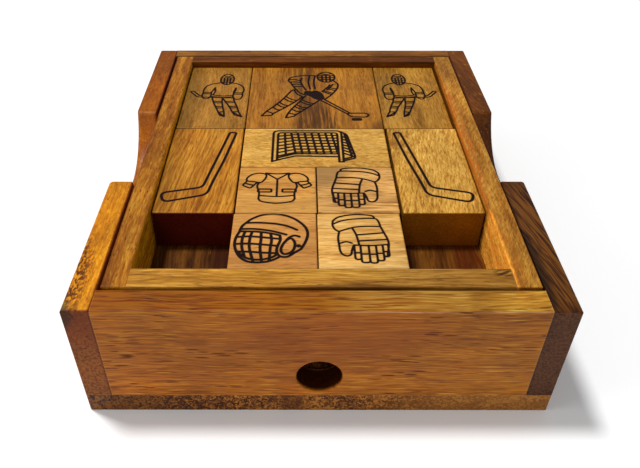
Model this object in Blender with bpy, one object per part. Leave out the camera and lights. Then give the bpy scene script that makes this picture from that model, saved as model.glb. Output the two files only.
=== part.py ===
# Sliding-block puzzle: an open wooden box, a tray that nests in its mouth, and ten loose blocks.
# Metres, +Z up. The origin is the middle of the box's underside, +Y runs to the back, +X to the right.
import math

import bmesh
import bpy
from mathutils import Vector

MM = 0.001

# Outer box
BOX_WIDTH = 150.8 * MM
BOX_DEPTH = 180.0 * MM
BOX_HEIGHT = 46.6 * MM
BOTTOM_THICKNESS = 8.0 * MM
SIDE_WALL_THICKNESS = 8.5 * MM
FRONT_WALL_THICKNESS = 9.1 * MM
BACK_WALL_THICKNESS = 6.5 * MM
CLEAT_WIDTH = 6.0 * MM

# Finger hole low in the front wall, and the scooped notch in the top of each side wall
HOLE_DIAMETER = 14.4 * MM
HOLE_CENTRE_HEIGHT = 17.1 * MM
NOTCH_OPENING = 50.8 * MM
NOTCH_DEPTH_LEFT = 17.6 * MM
NOTCH_DEPTH_RIGHT = 15.4 * MM

# Tray
TRAY_WIDTH = 132.5 * MM
TRAY_DEPTH = 162.0 * MM
TRAY_FLOOR_THICKNESS = 4.0 * MM
TRAY_FLOOR_TOP = 28.4 * MM
TRAY_SIDE_RAIL = 7.6 * MM
TRAY_FRONT_RAIL = 8.2 * MM
TRAY_BACK_RAIL = 5.7 * MM
TRAY_SHIFT_RIGHT = 0.3 * MM

# Blocks: a one-cell block is square, and a larger one also covers the gap between its cells
CELL_SIDE = 28.6 * MM
CELL_PITCH = 29.0 * MM
BLOCK_TOP = 43.8 * MM
BACK_PLAY = 0.5 * MM
LEFT_PLAY = 0.5 * MM

GAP = 0.3 * MM               # glue line or running gap kept between neighbouring solids
PANEL_EASE = 0.35 * MM       # eased arris of the box and the tray
BLOCK_EASE = 0.6 * MM        # softer arris of the handled blocks
HOLE_SEGMENTS = 40
NOTCH_SEGMENTS = 28

# Worked out from the sizes above
HALF_WIDTH = BOX_WIDTH / 2
HALF_DEPTH = BOX_DEPTH / 2
INNER_HALF_WIDTH = HALF_WIDTH - SIDE_WALL_THICKNESS
WELL_FRONT = -HALF_DEPTH + FRONT_WALL_THICKNESS
WELL_BACK = HALF_DEPTH - BACK_WALL_THICKNESS
WELL_MIDDLE = (WELL_FRONT + WELL_BACK) / 2
WALL_FOOT = BOTTOM_THICKNESS + GAP
TRAY_CENTRE = Vector((TRAY_SHIFT_RIGHT, WELL_MIDDLE, TRAY_FLOOR_TOP))
TRAY_LEFT = TRAY_CENTRE.x - TRAY_WIDTH / 2
TRAY_RIGHT = TRAY_CENTRE.x + TRAY_WIDTH / 2
TRAY_FRONT = TRAY_CENTRE.y - TRAY_DEPTH / 2
TRAY_BACK = TRAY_CENTRE.y + TRAY_DEPTH / 2
TRAY_UNDERSIDE = TRAY_FLOOR_TOP - TRAY_FLOOR_THICKNESS

# Block: name, first column from the left, first row from the back, columns, rows, extra shift right, colour
BLOCKS = (
    ("block_player_left", 0, 0, 1, 2, 0.0, (0.36, 0.23, 0.08)),
    ("block_player_centre", 1, 0, 2, 2, 0.0, (0.33, 0.17, 0.06)),
    ("block_player_right", 3, 0, 1, 2, 0.0, (0.52, 0.31, 0.08)),
    ("block_stick_left", 0, 2, 1, 2, -0.2 * MM, (0.50, 0.25, 0.06)),
    ("block_goal_net", 1, 2, 2, 1, 0.0, (0.60, 0.38, 0.12)),
    ("block_stick_right", 3, 2, 1, 2, 0.8 * MM, (0.55, 0.33, 0.09)),
    ("block_shoulder_pads", 1, 3, 1, 1, 0.0, (0.45, 0.24, 0.09)),
    ("block_glove_rear", 2, 3, 1, 1, 0.1 * MM, (0.36, 0.23, 0.12)),
    ("block_helmet", 1, 4, 1, 1, -0.3 * MM, (0.48, 0.24, 0.07)),
    ("block_glove_front", 2, 4, 1, 1, -0.3 * MM, (0.56, 0.35, 0.10)),
)


def clear_scene():
    for old in list(bpy.data.objects):
        bpy.data.objects.remove(old, do_unlink=True)


def wood(name, colour, roughness=0.42):
    material = bpy.data.materials.new(name)
    material.use_nodes = True
    shader = material.node_tree.nodes["Principled BSDF"]
    shader.inputs["Base Color"].default_value = (*colour, 1.0)
    shader.inputs["Roughness"].default_value = roughness
    shader.inputs["Metallic"].default_value = 0.0
    return material


def frame_empty(name, location):
    empty = bpy.data.objects.new(name, None)
    empty.location = location
    empty.empty_display_size = 0.02
    bpy.context.scene.collection.objects.link(empty)
    return empty


def add_object(name, shape, centre, colour, parent):
    """Turn a bmesh drawn round its own centre into a named object with its own material."""
    mesh = bpy.data.meshes.new(name)
    bmesh.ops.recalc_face_normals(shape, faces=shape.faces)
    shape.to_mesh(mesh)
    shape.free()
    mesh.materials.append(wood(name + "_wood", colour))
    piece = bpy.data.objects.new(name, mesh)
    bpy.context.scene.collection.objects.link(piece)
    piece.parent = parent
    piece.location = Vector(centre) - parent.location
    return piece


def ease_edges(piece, width, segments):
    bevel = piece.modifiers.new("eased_edges", "BEVEL")
    bevel.width = width
    bevel.segments = segments
    bevel.limit_method = "ANGLE"
    bevel.angle_limit = math.radians(40)


def board(name, low, high, colour, parent, ease=PANEL_EASE, segments=1):
    """A rectangular piece of wood between two corners."""
    low = Vector(low)
    high = Vector(high)
    shape = bmesh.new()
    bmesh.ops.create_cube(shape, size=1.0)
    bmesh.ops.scale(shape, vec=high - low, verts=shape.verts)
    piece = add_object(name, shape, (low + high) / 2, colour, parent)
    ease_edges(piece, ease, segments)
    return piece


def notch_arc(depth, wall_top):
    """Points of the scooped notch from its back end to its front end, as (y, z) pairs."""
    half_opening = NOTCH_OPENING / 2
    radius = (half_opening ** 2 + depth ** 2) / (2 * depth)
    arc_centre = wall_top - depth + radius
    half_angle = math.asin(half_opening / radius)
    points = []
    for step in range(NOTCH_SEGMENTS + 1):
        angle = half_angle * (1 - 2 * step / NOTCH_SEGMENTS)
        points.append((WELL_MIDDLE + radius * math.sin(angle), arc_centre - radius * math.cos(angle)))
    return points


def notched_wall(name, middle_x, notch_depth, colour, parent):
    """A side wall: its outline in Y and Z, drawn out across its thickness."""
    outline = [(-HALF_DEPTH, WALL_FOOT), (HALF_DEPTH, WALL_FOOT), (HALF_DEPTH, BOX_HEIGHT)]
    outline += notch_arc(notch_depth, BOX_HEIGHT)
    outline.append((-HALF_DEPTH, BOX_HEIGHT))
    middle_z = (WALL_FOOT + BOX_HEIGHT) / 2
    half = SIDE_WALL_THICKNESS / 2
    shape = bmesh.new()
    corners = [shape.verts.new((-half, y, z - middle_z)) for y, z in outline]
    face = shape.faces.new(corners)
    drawn = bmesh.ops.extrude_face_region(shape, geom=[face])
    moved = [item for item in drawn["geom"] if isinstance(item, bmesh.types.BMVert)]
    bmesh.ops.translate(shape, vec=(SIDE_WALL_THICKNESS, 0, 0), verts=moved)
    wall = add_object(name, shape, (middle_x, 0, middle_z), colour, parent)
    ease_edges(wall, PANEL_EASE, 1)
    return wall


def drill_finger_hole(wall, parent):
    """A round through hole, cut by a hidden rod that runs past both faces of the wall."""
    shape = bmesh.new()
    bmesh.ops.create_cone(shape, cap_ends=True, segments=HOLE_SEGMENTS, radius1=HOLE_DIAMETER / 2,
                          radius2=HOLE_DIAMETER / 2, depth=FRONT_WALL_THICKNESS * 2)
    turn = Vector((0, -1, 0)).to_track_quat("Z", "Y").to_matrix()
    bmesh.ops.rotate(shape, cent=(0, 0, 0), matrix=turn, verts=shape.verts)
    centre = (0, -HALF_DEPTH + FRONT_WALL_THICKNESS / 2, HOLE_CENTRE_HEIGHT)
    rod = add_object("finger_hole_cutter", shape, centre, (0.5, 0.5, 0.5), parent)
    rod.hide_render = True
    rod.display_type = "WIRE"
    cut = wall.modifiers.new("finger_hole", "BOOLEAN")
    cut.operation = "DIFFERENCE"
    cut.solver = "EXACT"
    cut.object = rod


def build_box():
    box = frame_empty("outer_box", (0, 0, 0))
    between = INNER_HALF_WIDTH - GAP
    board("bottom_panel", (-HALF_WIDTH, -HALF_DEPTH, 0), (HALF_WIDTH, HALF_DEPTH, BOTTOM_THICKNESS),
          (0.20, 0.11, 0.05), box)
    front = board("front_wall", (-between, -HALF_DEPTH, WALL_FOOT), (between, WELL_FRONT, BOX_HEIGHT),
                  (0.48, 0.22, 0.06), box)
    drill_finger_hole(front, box)
    board("back_wall", (-between, WELL_BACK, WALL_FOOT), (between, HALF_DEPTH, BOX_HEIGHT),
          (0.38, 0.22, 0.08), box)
    wall_middle = HALF_WIDTH - SIDE_WALL_THICKNESS / 2
    notched_wall("left_wall", -wall_middle, NOTCH_DEPTH_LEFT, (0.45, 0.22, 0.05), box)
    notched_wall("right_wall", wall_middle, NOTCH_DEPTH_RIGHT, (0.17, 0.09, 0.04), box)
    cleat_top = TRAY_UNDERSIDE - GAP
    for side, name in ((-1, "left_cleat"), (1, "right_cleat")):
        outer = side * (INNER_HALF_WIDTH - GAP)
        inner = outer - side * CLEAT_WIDTH
        board(name, (min(outer, inner), WELL_FRONT + GAP, WALL_FOOT),
              (max(outer, inner), WELL_BACK - GAP, cleat_top), (0.30, 0.18, 0.08), box)


def build_tray():
    tray = frame_empty("tray", TRAY_CENTRE)
    rail_foot = TRAY_FLOOR_TOP + GAP
    inner_left = TRAY_LEFT + TRAY_SIDE_RAIL
    inner_right = TRAY_RIGHT - TRAY_SIDE_RAIL
    board("tray_floor", (TRAY_LEFT, TRAY_FRONT, TRAY_UNDERSIDE), (TRAY_RIGHT, TRAY_BACK, TRAY_FLOOR_TOP),
          (0.24, 0.14, 0.05), tray)
    board("tray_left_rail", (TRAY_LEFT, TRAY_FRONT, rail_foot), (inner_left, TRAY_BACK, BOX_HEIGHT),
          (0.42, 0.26, 0.09), tray)
    board("tray_right_rail", (inner_right, TRAY_FRONT, rail_foot), (TRAY_RIGHT, TRAY_BACK, BOX_HEIGHT),
          (0.50, 0.30, 0.10), tray)
    board("tray_front_rail", (inner_left + GAP, TRAY_FRONT, rail_foot),
          (inner_right - GAP, TRAY_FRONT + TRAY_FRONT_RAIL, BOX_HEIGHT), (0.48, 0.30, 0.12), tray)
    board("tray_back_rail", (inner_left + GAP, TRAY_BACK - TRAY_BACK_RAIL, rail_foot),
          (inner_right - GAP, TRAY_BACK, BOX_HEIGHT), (0.30, 0.18, 0.07), tray)
    return tray


def build_blocks(tray):
    first_left = TRAY_LEFT + TRAY_SIDE_RAIL + LEFT_PLAY
    first_back = TRAY_BACK - TRAY_BACK_RAIL - BACK_PLAY
    between = CELL_PITCH - CELL_SIDE
    for name, column, row, columns, rows, shift, colour in BLOCKS:
        left = first_left + column * CELL_PITCH + shift
        back = first_back - row * CELL_PITCH
        right = left + columns * CELL_PITCH - between
        front = back - rows * CELL_PITCH + between
        board(name, (left, front, TRAY_FLOOR_TOP + GAP), (right, back, BLOCK_TOP), colour, tray,
              ease=BLOCK_EASE, segments=2)


def main():
    clear_scene()
    build_box()
    tray = build_tray()
    build_blocks(tray)
    bpy.context.view_layer.update()


main()
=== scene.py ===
import math

import bmesh
import bpy
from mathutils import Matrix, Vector, geometry


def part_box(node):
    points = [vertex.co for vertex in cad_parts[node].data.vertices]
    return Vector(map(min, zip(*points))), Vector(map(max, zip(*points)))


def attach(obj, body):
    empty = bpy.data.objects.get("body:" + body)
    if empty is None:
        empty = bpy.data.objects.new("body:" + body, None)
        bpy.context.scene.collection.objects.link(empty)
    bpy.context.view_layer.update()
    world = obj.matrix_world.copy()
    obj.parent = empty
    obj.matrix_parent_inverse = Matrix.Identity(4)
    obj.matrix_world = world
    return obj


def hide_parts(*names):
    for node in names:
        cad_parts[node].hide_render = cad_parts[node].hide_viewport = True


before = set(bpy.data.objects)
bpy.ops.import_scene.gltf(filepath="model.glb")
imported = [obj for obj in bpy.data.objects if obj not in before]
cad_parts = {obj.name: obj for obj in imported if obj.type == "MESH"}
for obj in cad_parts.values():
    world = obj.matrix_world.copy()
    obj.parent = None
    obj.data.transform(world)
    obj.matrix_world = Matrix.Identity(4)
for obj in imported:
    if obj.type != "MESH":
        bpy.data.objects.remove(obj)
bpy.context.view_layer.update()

mm = 0.001
scene = bpy.context.scene
scene.view_settings.view_transform = "Standard"


# camera: a little left of the middle, looking down at the tray from the front
cameraSettings = {
    "place": (-6.3, -222.0, 183.4),     # mm from the middle of the underside
    "lookDown": 39.18,                  # degrees below the horizon
    "turn": 0.09,
    "lens": 37.04,
    "shift": (0.0333, -0.002),
}


def makeCamera(settings):
    data = bpy.data.cameras.new("camera")
    data.lens = settings["lens"]
    data.sensor_width = 36.0
    data.shift_x, data.shift_y = settings["shift"]
    data.clip_start = 0.01
    data.clip_end = 20.0
    camera = bpy.data.objects.new("camera", data)
    camera.location = Vector(settings["place"]) * mm
    camera.rotation_euler = (math.radians(90 - settings["lookDown"]), 0, math.radians(settings["turn"]))
    scene.collection.objects.link(camera)
    scene.camera = camera


makeCamera(cameraSettings)
print("camera placed")


# small helpers for node trees
def addNode(tree, kind, inputs=None, **settings):
    made = tree.nodes.new(kind)
    for name, value in settings.items():
        setattr(made, name, value)
    for key, value in (inputs or {}).items():
        if isinstance(value, bpy.types.NodeSocket):
            tree.links.new(value, made.inputs[key])
        else:
            made.inputs[key].default_value = value
    return made


def calc(tree, operation, *values):
    return addNode(tree, "ShaderNodeMath", dict(enumerate(values)), operation=operation).outputs[0]


def vectorCalc(tree, operation, first, second):
    return addNode(tree, "ShaderNodeVectorMath", {0: first, 1: second}, operation=operation).outputs[0]


def mixColour(tree, share, first, second, mode="MIX"):
    # sockets 6 and 7 are the colours of a Mix node
    made = addNode(tree, "ShaderNodeMix", {0: share, 6: first, 7: second},
                   data_type="RGBA", blend_type=mode)
    return made.outputs[2]


def fade(tree, value, low, high, atLow=0.0, atHigh=1.0, kind="LINEAR"):
    made = addNode(tree, "ShaderNodeMapRange", {0: value, 1: low, 2: high, 3: atLow, 4: atHigh},
                   interpolation_type=kind)
    return made.outputs[0]


def tone(red, green, blue):
    # a screen colour, 0 to 255, as the linear colour that a shader wants
    linear = []
    for part in (red, green, blue):
        share = part / 255
        linear.append(share / 12.92 if share <= 0.04045 else ((share + 0.055) / 1.055) ** 2.4)
    return (*linear, 1.0)


# oiled tropical hardwood, worked out in millimetres along the grain (X) and across it (Y, Z)
woodDefaults = {
    "turn": (0, 0, 0),             # degrees that bring the board's grain onto X
    "offset": (0, 0, 0),           # mm, so that no two boards share a pattern
    "shades": ((120, 66, 20), (168, 102, 34), (206, 142, 60)),      # darkest, middle and palest wood
    "bandSize": (90.0, 6.0),       # mm along and across the grain
    "band": 0.9,                   # how strongly the bands run from dark to light
    "wander": 2.5,                 # mm that the grain strays from straight
    "figure": ((14.0, 0.9, 0.5, 0, 0.3), (5.0, 0.6, 0.3, 0, 0.6)),  # length, width, strength, angle, curl
    "fibre": 0.2,
    "poreColour": (62, 22, 8),
    "poreSize": (2.8, 0.34),
    "poreShare": 0.35,
    "poreStrength": 0.7,
    "poreGather": 0.7,             # 0 spreads the pores evenly, 1 leaves them only in drifts
    "poreDrift": (26.0, 7.0),      # length and width of a drift
    "fleckColour": (224, 164, 88),
    "fleckSize": (3.6, 0.7),
    "fleckShare": 0.25,
    "fleckStrength": 0.3,
    "blotch": 0.22,
    "blotchSize": 26.0,
    "washes": (),                  # axis, from, to and what the colour is multiplied by past "to",
                                   # then any bounds, each an axis and where the wash is off and on
    "patches": (),                 # middle, reach, colour and strength of a marked area, and its grain
    "endGrainAndPaintedShade": (0.6, 0.55, 0.5),  # the colour is multiplied by this where the grain is cut across: darker end grain, and on the stick blocks painted shade as well
    "endCalm": 0.6,                # and the figure is weaker there by this share
    "sides": (1, 1, 1),            # painted light and shade: the colour is multiplied by this on upright faces
    "oil": (0.86, 0.82, 0.55),     # the oil deepens and warms every colour by this
    "tint": (1, 1, 1),             # and the board's own shade by this
    "contrast": 1.5,
    "roughness": 0.42,
    "wearAndHighlight": 0.3,                   # how pale the arrises are painted, as rubbed edges and as a painted highlight
    "engraved": False,
}
alongDepth = (0, 0, -90)           # the turn of a board whose grain runs from front to back
dashScale = 0.62                   # cells are drawn larger than their dashes, to leave plain wood between
dashEdge = 0.32                    # of a cell, from the middle of a dash to its edge
strayScale = 0.022                 # per mm, how slowly the grain wanders
fibreSize = (6.0, 0.34)            # mm along and across the grain
paleArrisReach = 0.6                  # mm of an arris that is painted pale, as rubbing and as a painted highlight
charShades = ((12, 3, 3), (34, 10, 7))      # darkest and palest char in a burnt line


def dashes(tree, place, size, share, softness):
    # short dashes along the grain, on end grain they show as dots
    length, across = size
    scale = (dashScale / length, dashScale / across, dashScale / across)
    scaled = vectorCalc(tree, "MULTIPLY", place, scale)
    cells = addNode(tree, "ShaderNodeTexVoronoi", {"Vector": scaled, "Scale": 1.0, "Randomness": 1.0})
    inside = fade(tree, cells.outputs["Distance"], dashEdge, dashEdge - softness, kind="SMOOTHSTEP")
    pick = addNode(tree, "ShaderNodeSeparateColor", {0: cells.outputs["Color"]})
    kept = calc(tree, "LESS_THAN", pick.outputs[0], share)
    depth = fade(tree, pick.outputs[1], 0.0, 1.0, 0.45, 1.0)
    return calc(tree, "MULTIPLY", calc(tree, "MULTIPLY", inside, kept), depth)


def stretchedNoise(tree, place, length, width, angle=0, curl=0.0, detail=2.0):
    if angle:
        turn = (0, 0, math.radians(angle))
        place = addNode(tree, "ShaderNodeMapping", {"Vector": place, "Rotation": turn}).outputs[0]
    scaled = vectorCalc(tree, "MULTIPLY", place, (1 / length, 1 / width, 1 / width))
    noise = addNode(tree, "ShaderNodeTexNoise", {"Vector": scaled, "Scale": 1.0, "Detail": detail,
                    "Roughness": 0.55, "Distortion": curl})
    return noise.outputs[0]


def grainTone(tree, place, look):
    # 0 is the darkest wood and 1 the palest
    share = stretchedNoise(tree, place, *look["bandSize"], curl=0.2, detail=3.0)
    boost = look["contrast"] * 2
    share = calc(tree, "MULTIPLY_ADD", calc(tree, "SUBTRACT", share, 0.5), look["band"] * boost, 0.5)
    for length, width, strength, angle, curl in look["figure"]:
        layer = calc(tree, "SUBTRACT", stretchedNoise(tree, place, length, width, angle, curl), 0.5)
        share = calc(tree, "MULTIPLY_ADD", layer, strength * boost, share)
    return share


def addPatches(tree, colour, here, place, patches):
    for patch in patches:
        away = vectorCalc(tree, "SUBTRACT", here, patch["middle"])
        away = vectorCalc(tree, "DIVIDE", away, patch["reach"])
        away = addNode(tree, "ShaderNodeVectorMath", {0: away}, operation="LENGTH").outputs["Value"]
        inside = fade(tree, away, 1.0, 0.45, kind="SMOOTHSTEP")
        if patch.get("grain"):
            length, width = patch["grain"]
            streak = stretchedNoise(tree, place, length, width, patch.get("angle", 0), 0.4)
            inside = calc(tree, "MULTIPLY", inside, fade(tree, streak, 0.40, 0.58, kind="SMOOTHSTEP"))
        inside = calc(tree, "MULTIPLY", inside, patch["strength"])
        colour = mixColour(tree, inside, colour, tone(*patch["colour"]))
    return colour


def makeWood(name, look):
    look = {**woodDefaults, **look}
    material = bpy.data.materials.new(name)
    material.use_nodes = True
    tree = material.node_tree
    shader = tree.nodes["Principled BSDF"]
    turn = [math.radians(angle) for angle in look["turn"]]
    coordinates = addNode(tree, "ShaderNodeTexCoord")
    here = vectorCalc(tree, "MULTIPLY", coordinates.outputs["Object"], (1 / mm, 1 / mm, 1 / mm))
    place = addNode(tree, "ShaderNodeMapping", {"Vector": here, "Location": look["offset"],
                    "Rotation": turn}).outputs[0]
    drift = addNode(tree, "ShaderNodeTexNoise", {"Vector": place, "Scale": strayScale, "Detail": 2.0})
    drift = vectorCalc(tree, "SUBTRACT", drift.outputs["Color"], (0.5, 0.5, 0.5))
    reach = look["wander"] * 2
    strayed = vectorCalc(tree, "ADD", place, vectorCalc(tree, "MULTIPLY", drift, (0, reach, reach)))

    facing = addNode(tree, "ShaderNodeMapping", {"Vector": coordinates.outputs["Normal"], "Rotation": turn})
    facing = addNode(tree, "ShaderNodeSeparateXYZ", {0: facing.outputs[0]})
    cutAcross = fade(tree, calc(tree, "ABSOLUTE", facing.outputs["X"]), 0.75, 0.95)
    upright = fade(tree, calc(tree, "ABSOLUTE", facing.outputs["Z"]), 0.75, 0.35)

    calm = calc(tree, "MULTIPLY_ADD", cutAcross, -look["endCalm"], 1.0)
    share = calc(tree, "SUBTRACT", grainTone(tree, strayed, look), 0.5)
    ramp = addNode(tree, "ShaderNodeValToRGB", {0: calc(tree, "MULTIPLY_ADD", share, calm, 0.5)})
    ends = ramp.color_ramp.elements
    ends[0].color = tone(*look["shades"][0])
    ends[1].color = tone(*look["shades"][2])
    ends.new(0.5).color = tone(*look["shades"][1])
    colour = ramp.outputs[0]

    blotches = stretchedNoise(tree, place, look["blotchSize"], look["blotchSize"] * 0.6)
    shade = fade(tree, blotches, 0.3, 0.7, 1 - look["blotch"], 1 + look["blotch"] * 0.6)
    fibres = stretchedNoise(tree, strayed, *fibreSize)
    streaks = fade(tree, fibres, 0.25, 0.75, 1 - look["fibre"], 1 + look["fibre"])
    shade = calc(tree, "MULTIPLY", shade, streaks)
    colour = mixColour(tree, 1.0, colour, shade, "MULTIPLY")

    fleckColour = tone(*look["fleckColour"])
    flecks = dashes(tree, strayed, look["fleckSize"], look["fleckShare"], 0.16)
    colour = mixColour(tree, calc(tree, "MULTIPLY", flecks, look["fleckStrength"]), colour, fleckColour)
    aside = vectorCalc(tree, "ADD", strayed, (37.0, 11.0, 5.0))       # so that pores miss the flecks
    pores = dashes(tree, aside, look["poreSize"], look["poreShare"], 0.1)
    gathered = stretchedNoise(tree, aside, *look["poreDrift"])
    gathered = fade(tree, gathered, 0.44, 0.56, 1 - look["poreGather"], 1.0)
    pores = calc(tree, "MULTIPLY", pores, gathered)
    stained = calc(tree, "MULTIPLY", pores, look["poreStrength"])
    colour = mixColour(tree, stained, colour, tone(*look["poreColour"]))

    colour = addPatches(tree, colour, here, strayed, look["patches"])
    split = addNode(tree, "ShaderNodeSeparateXYZ", {0: here})
    for axis, start, end, tint, *bounds in look["washes"]:
        reached = fade(tree, split.outputs[axis.upper()], start, end)
        for boundAxis, outside, inside in bounds:
            within = fade(tree, split.outputs[boundAxis.upper()], outside, inside)
            reached = calc(tree, "MULTIPLY", reached, within)
        colour = mixColour(tree, reached, colour, vectorCalc(tree, "MULTIPLY", colour, tint))

    # faces that cut the grain across drink more oil (and carry painted shade on the stick blocks), and
    # upright faces get painted light and shade by their own factor
    colour = mixColour(tree, cutAcross, colour, vectorCalc(tree, "MULTIPLY", colour, look["endGrainAndPaintedShade"]))
    colour = mixColour(tree, upright, colour, vectorCalc(tree, "MULTIPLY", colour, look["sides"]))

    oiled = [oil * tint for oil, tint in zip(look["oil"], look["tint"])]
    colour = vectorCalc(tree, "MULTIPLY", colour, oiled)
    # arrises are painted a little paler: partly rubbed, partly a painted highlight on the rounded edges
    softened = addNode(tree, "ShaderNodeBevel", {"Radius": paleArrisReach * mm}, samples=6)
    flat = addNode(tree, "ShaderNodeNewGeometry")
    match = addNode(tree, "ShaderNodeVectorMath", {0: softened.outputs[0], 1: flat.outputs["Normal"]},
                    operation="DOT_PRODUCT").outputs["Value"]
    wornAndHighlit = fade(tree, match, 0.97, 0.80, 0.0, look["wearAndHighlight"])
    colour = mixColour(tree, wornAndHighlit, colour, fleckColour)

    roughness = fade(tree, fibres, 0.2, 0.8, look["roughness"] - 0.06, look["roughness"] + 0.08)
    roughness = calc(tree, "MULTIPLY_ADD", pores, 0.25, roughness)
    height = calc(tree, "MULTIPLY_ADD", fibres, 0.35, calc(tree, "MULTIPLY", pores, -0.8))
    if look["engraved"]:
        burn = addNode(tree, "ShaderNodeAttribute", attribute_name="burn").outputs["Fac"]
        char = addNode(tree, "ShaderNodeTexNoise", {"Vector": place, "Scale": 2.5, "Detail": 2.0})
        charColour = mixColour(tree, char.outputs[0], tone(*charShades[0]), tone(*charShades[1]))
        colour = mixColour(tree, burn, colour, charColour)
        roughness = calc(tree, "MULTIPLY_ADD", burn, 0.35, roughness)
    bump = addNode(tree, "ShaderNodeBump", {"Height": height, "Strength": 0.4, "Distance": 0.12 * mm})
    tree.links.new(colour, shader.inputs["Base Color"])
    tree.links.new(roughness, shader.inputs["Roughness"])
    tree.links.new(bump.outputs[0], shader.inputs["Normal"])
    shader.inputs["Specular IOR Level"].default_value = 0.13
    return material


# boards: drawn as an outline, pushed out to their thickness, with each arris eased by its own amount
glueLine = 0.02            # mm left between glued faces
cadGap = 0.3               # mm that the CAD keeps between them
closeUp = cadGap - glueLine
gluedBelow = {"-z": closeUp}
gluedBetween = {"-z": closeUp, "-x": closeUp, "+x": closeUp}
axes = {"x": 0, "y": 1, "z": 2}
flattestArris = 25         # degrees, an edge that bends less is part of a curve
sharpAngle = 35            # degrees, an edge that bends more is shaded sharp
arrisSteps = 4             # faces across a rounded arris


def sideOf(normal):
    for name, axis in axes.items():
        if abs(normal[axis]) > 0.999:
            return ("+" if normal[axis] > 0 else "-") + name
    return "curve"


def grownBox(node, grow):
    low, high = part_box(node)
    low, high = low / mm, high / mm
    for side, amount in grow.items():
        axis = axes[side[1]]
        if side[0] == "-":
            low[axis] -= amount
        else:
            high[axis] += amount
    return low, high


def linkPiece(name, shape, material):
    mesh = bpy.data.meshes.new(name)
    shape.to_mesh(mesh)
    shape.free()
    mesh.materials.append(material)
    piece = bpy.data.objects.new(name, mesh)
    scene.collection.objects.link(piece)
    return piece


def pushOut(polygons, along, start, end):
    # outlines in the two axes that are not "along", in mm, become one solid between start and end
    depth = axes[along]
    shape = bmesh.new()
    known = {}
    faces = []
    for polygon in polygons:
        corners = []
        for first, second in polygon:
            key = (round(first, 4), round(second, 4))
            if key not in known:
                spot = [first, second]
                spot.insert(depth, start)
                known[key] = shape.verts.new(Vector(spot) * mm)
            corners.append(known[key])
        faces.append(shape.faces.new(corners))
    drawn = bmesh.ops.extrude_face_region(shape, geom=faces)
    moved = [item for item in drawn["geom"] if isinstance(item, bmesh.types.BMVert)]
    travel = Vector((0, 0, 0))
    travel[depth] = (end - start) * mm
    bmesh.ops.translate(shape, vec=travel, verts=moved)
    bmesh.ops.recalc_face_normals(shape, faces=shape.faces)
    return shape


def easeArrises(shape, easing, widest):
    shape.normal_update()
    weights = shape.edges.layers.float.new("bevel_weight_edge")
    for edge in shape.edges:
        if len(edge.link_faces) != 2 or edge.calc_face_angle(0) < math.radians(flattestArris):
            continue
        sides = frozenset(sideOf(face.normal) for face in edge.link_faces)
        edge[weights] = easing.get(sides, easing["other"]) / widest


def pairs(table):
    return {frozenset(key.split()) if key != "other" else key: value for key, value in table.items()}


def makeBoard(name, settings, polygons, along, start, end):
    easing = pairs(settings["easing"])
    widest = max(easing.values())
    shape = pushOut(polygons, along, start, end)
    easeArrises(shape, easing, widest)
    material = makeWood(name + "Wood", settings["wood"])
    board = linkPiece(name, shape, material)
    bevel = board.modifiers.new("easedArrises", "BEVEL")
    bevel.limit_method = "WEIGHT"
    bevel.width = widest * mm
    bevel.segments = arrisSteps
    bevel.harden_normals = True
    board.data.polygons.foreach_set("use_smooth", [True] * len(board.data.polygons))
    board.data.set_sharp_from_angle(angle=math.radians(sharpAngle))
    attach(board, settings["body"])
    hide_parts(settings["node"])


def plainBoard(name, settings):
    low, high = grownBox(settings["node"], settings.get("grow", {}))
    outline = [(low.x, low.y), (high.x, low.y), (high.x, high.y), (low.x, high.y)]
    makeBoard(name, settings, [outline], "z", low.z, high.z)


bottomPanelSettings = {
    "node": "bottom_panel", "body": "box",
    "easing": {"-z -x": 0.4, "-z +x": 0.4, "-z -y": 0.25, "-z +y": 0.4, "-y -x": 0.4, "-y +x": 0.4,
               "+y -x": 0.6, "+y +x": 0.6, "other": 0.1},
    "wood": {
        "offset": (13, 40, 7), "turn": alongDepth,
        "shades": ((66, 34, 16), (122, 74, 36), (186, 128, 70)),
        "bandSize": (60, 16), "band": 0.5, "tint": (1.04, 0.93, 0.68),
        "figure": ((2.2, 1.4, 1.3, 0, 1.4), (1.2, 0.8, 0.4, 0, 1.0)),
        "poreStrength": 0.3, "fleckStrength": 0.2,
        "washes": (("x", -35, -55, (0.54, 0.50, 0.56)), ("x", 15, 45, (1.4, 1.6, 1.8))),
        "patches": ({"middle": (-9, -90, 4), "reach": (5, 12, 12), "colour": (84, 44, 20), "strength": 0.6},
                    {"middle": (62, -90, 4), "reach": (56, 20, 20), "colour": (128, 80, 40),
                     "strength": 0.6}),
        "endGrainAndPaintedShade": (1, 1, 1), "endCalm": 0.0,
    },
}
plainBoard("bottomPanel", bottomPanelSettings)

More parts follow.
